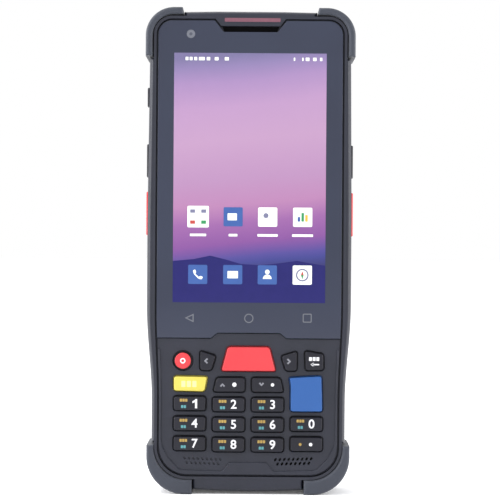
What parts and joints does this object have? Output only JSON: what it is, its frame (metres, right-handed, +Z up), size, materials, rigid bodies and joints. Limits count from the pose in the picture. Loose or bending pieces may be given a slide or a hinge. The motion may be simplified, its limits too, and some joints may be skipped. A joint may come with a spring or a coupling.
{
  "type": "rugged handheld data terminal",
  "caption": "Rugged handheld terminal with a touch screen, numeric keypad, red scan keys, rubber corner bumpers and a hinged battery cover on its back.",
  "frame": {"origin": "centre of the overall box's base, on the surface the lower bumpers stand on", "axes": "+Z up along the terminal's length, +X to the right of someone facing the screen, +Y out of the back, so the screen faces -Y"},
  "size_m": [0.0724, 0.0269, 0.1678],
  "materials": {
    "housing_plastic": "finely textured dark grey PC/ABS",
    "bumper_rubber": "overmoulded dark grey TPU",
    "cover_glass": "strengthened cover glass with a dark printed border, opaque here",
    "scan_window_glass": "dark red scan window",
    "lens_glass": "black coated lens",
    "flash_lens": "frosted flash lens",
    "seal_silicone": "moulded silicone gasket",
    "latch_plastic": "black acetal slider",
    "battery_wrap": "black wrapped lithium pack",
    "connector_plastic": "black connector body with plated contacts",
    "screw_steel": "plated steel",
    "display_module": "liquid crystal display module",
    "chassis_metal": "die cast chassis plate",
    "keypad_silicone": "translucent grey silicone mat",
    "circuit_board": "green solder mask",
    "module_plastic": "black moulded module body",
    "key_black": "black keycap with printed legend",
    "key_red": "coral red keycap",
    "key_yellow": "lemon yellow keycap",
    "key_blue": "mid blue keycap",
    "trigger_red": "red trigger keycap"
  },
  "bodies": {
    "case": {"front_housing": "housing_plastic", "keypad_fascia": "housing_plastic", "rear_housing": "housing_plastic", "housing_seal": "seal_silicone", "display_glass": "cover_glass", "scan_window": "scan_window_glass", "camera_lens": "lens_glass", "flash_lens": "flash_lens", "bumper_top_left": "bumper_rubber", "bumper_top_right": "bumper_rubber", "bumper_bottom_left": "bumper_rubber", "bumper_bottom_right": "bumper_rubber", "battery_pack": "battery_wrap", "battery_contacts": "connector_plastic", "housing_screw_top_left": "screw_steel", "housing_screw_top_right": "screw_steel", "housing_screw_bottom_left": "screw_steel", "housing_screw_bottom_right": "screw_steel", "display_panel": "display_module", "chassis_plate": "chassis_metal", "keypad_mat": "keypad_silicone", "keypad_board": "circuit_board", "main_board": "circuit_board", "earpiece": "screw_steel", "front_camera": "module_plastic", "loudspeaker": "module_plastic", "vibration_motor": "screw_steel", "card_holder": "screw_steel", "scan_engine": "module_plastic", "rear_camera": "module_plastic", "usb_board": "circuit_board", "cradle_contacts": "connector_plastic"},
    "power_key": {"power_key": "key_red"},
    "left_key": {"left_key": "key_black"},
    "scan_key": {"scan_key": "key_red"},
    "right_key": {"right_key": "key_black"},
    "delete_key": {"delete_key": "key_black"},
    "shift_key": {"shift_key": "key_yellow"},
    "up_key": {"up_key": "key_black"},
    "down_key": {"down_key": "key_black"},
    "enter_key": {"enter_key": "key_blue"},
    "key_0": {"key_0": "key_black"},
    "key_1": {"key_1": "key_black"},
    "key_2": {"key_2": "key_black"},
    "key_3": {"key_3": "key_black"},
    "key_4": {"key_4": "key_black"},
    "key_5": {"key_5": "key_black"},
    "key_6": {"key_6": "key_black"},
    "key_7": {"key_7": "key_black"},
    "key_8": {"key_8": "key_black"},
    "key_9": {"key_9": "key_black"},
    "point_key": {"point_key": "key_black"},
    "left_scan_trigger": {"left_scan_trigger": "trigger_red"},
    "right_scan_trigger": {"right_scan_trigger": "trigger_red"},
    "left_volume_key": {"left_volume_key": "key_black"},
    "right_function_key": {"right_function_key": "key_black"},
    "left_talk_key": {"left_talk_key": "key_black"},
    "battery_cover": {"battery_cover": "housing_plastic"},
    "cover_latch": {"cover_latch": "latch_plastic"}
  },
  "joints": [
    {"name": "power_key_press", "type": "slide", "parent": "case", "child": "power_key", "axis": [0, 1, 0], "range_m": [0, 0.0007], "stiffness_N_per_m": 1500},
    {"name": "left_key_press", "type": "slide", "parent": "case", "child": "left_key", "axis": [0, 1, 0], "range_m": [0, 0.0007], "stiffness_N_per_m": 1500},
    {"name": "scan_key_press", "type": "slide", "parent": "case", "child": "scan_key", "axis": [0, 1, 0], "range_m": [0, 0.0007], "stiffness_N_per_m": 1500},
    {"name": "right_key_press", "type": "slide", "parent": "case", "child": "right_key", "axis": [0, 1, 0], "range_m": [0, 0.0007], "stiffness_N_per_m": 1500},
    {"name": "delete_key_press", "type": "slide", "parent": "case", "child": "delete_key", "axis": [0, 1, 0], "range_m": [0, 0.0007], "stiffness_N_per_m": 1500},
    {"name": "shift_key_press", "type": "slide", "parent": "case", "child": "shift_key", "axis": [0, 1, 0], "range_m": [0, 0.0007], "stiffness_N_per_m": 1500},
    {"name": "up_key_press", "type": "slide", "parent": "case", "child": "up_key", "axis": [0, 1, 0], "range_m": [0, 0.0007], "stiffness_N_per_m": 1500},
    {"name": "down_key_press", "type": "slide", "parent": "case", "child": "down_key", "axis": [0, 1, 0], "range_m": [0, 0.0007], "stiffness_N_per_m": 1500},
    {"name": "enter_key_press", "type": "slide", "parent": "case", "child": "enter_key", "axis": [0, 1, 0], "range_m": [0, 0.0007], "stiffness_N_per_m": 1500},
    {"name": "key_0_press", "type": "slide", "parent": "case", "child": "key_0", "axis": [0, 1, 0], "range_m": [0, 0.0007], "stiffness_N_per_m": 1500},
    {"name": "key_1_press", "type": "slide", "parent": "case", "child": "key_1", "axis": [0, 1, 0], "range_m": [0, 0.0007], "stiffness_N_per_m": 1500},
    {"name": "key_2_press", "type": "slide", "parent": "case", "child": "key_2", "axis": [0, 1, 0], "range_m": [0, 0.0007], "stiffness_N_per_m": 1500},
    {"name": "key_3_press", "type": "slide", "parent": "case", "child": "key_3", "axis": [0, 1, 0], "range_m": [0, 0.0007], "stiffness_N_per_m": 1500},
    {"name": "key_4_press", "type": "slide", "parent": "case", "child": "key_4", "axis": [0, 1, 0], "range_m": [0, 0.0007], "stiffness_N_per_m": 1500},
    {"name": "key_5_press", "type": "slide", "parent": "case", "child": "key_5", "axis": [0, 1, 0], "range_m": [0, 0.0007], "stiffness_N_per_m": 1500},
    {"name": "key_6_press", "type": "slide", "parent": "case", "child": "key_6", "axis": [0, 1, 0], "range_m": [0, 0.0007], "stiffness_N_per_m": 1500},
    {"name": "key_7_press", "type": "slide", "parent": "case", "child": "key_7", "axis": [0, 1, 0], "range_m": [0, 0.0007], "stiffness_N_per_m": 1500},
    {"name": "key_8_press", "type": "slide", "parent": "case", "child": "key_8", "axis": [0, 1, 0], "range_m": [0, 0.0007], "stiffness_N_per_m": 1500},
    {"name": "key_9_press", "type": "slide", "parent": "case", "child": "key_9", "axis": [0, 1, 0], "range_m": [0, 0.0007], "stiffness_N_per_m": 1500},
    {"name": "point_key_press", "type": "slide", "parent": "case", "child": "point_key", "axis": [0, 1, 0], "range_m": [0, 0.0007], "stiffness_N_per_m": 1500},
    {"name": "left_scan_trigger_press", "type": "slide", "parent": "case", "child": "left_scan_trigger", "axis": [1, 0, 0], "range_m": [0, 0.0005], "stiffness_N_per_m": 2500},
    {"name": "right_scan_trigger_press", "type": "slide", "parent": "case", "child": "right_scan_trigger", "axis": [-1, 0, 0], "range_m": [0, 0.0005], "stiffness_N_per_m": 2500},
    {"name": "left_volume_key_press", "type": "slide", "parent": "case", "child": "left_volume_key", "axis": [1, 0, 0], "range_m": [0, 0.0005], "stiffness_N_per_m": 2500},
    {"name": "right_function_key_press", "type": "slide", "parent": "case", "child": "right_function_key", "axis": [-1, 0, 0], "range_m": [0, 0.0005], "stiffness_N_per_m": 2500},
    {"name": "left_talk_key_press", "type": "slide", "parent": "case", "child": "left_talk_key", "axis": [1, 0, 0], "range_m": [0, 0.0005], "stiffness_N_per_m": 2500},
    {"name": "battery_cover_swing", "type": "hinge", "parent": "case", "child": "battery_cover", "pos_m": [0, 0.0084, 0.1177], "axis": [1, 0, 0], "range_deg": [0, 75]},
    {"name": "cover_latch_slide", "type": "slide", "parent": "battery_cover", "child": "cover_latch", "axis": [0, 0, 1], "range_m": [0, 0.003], "stiffness_N_per_m": 300}
  ]
}
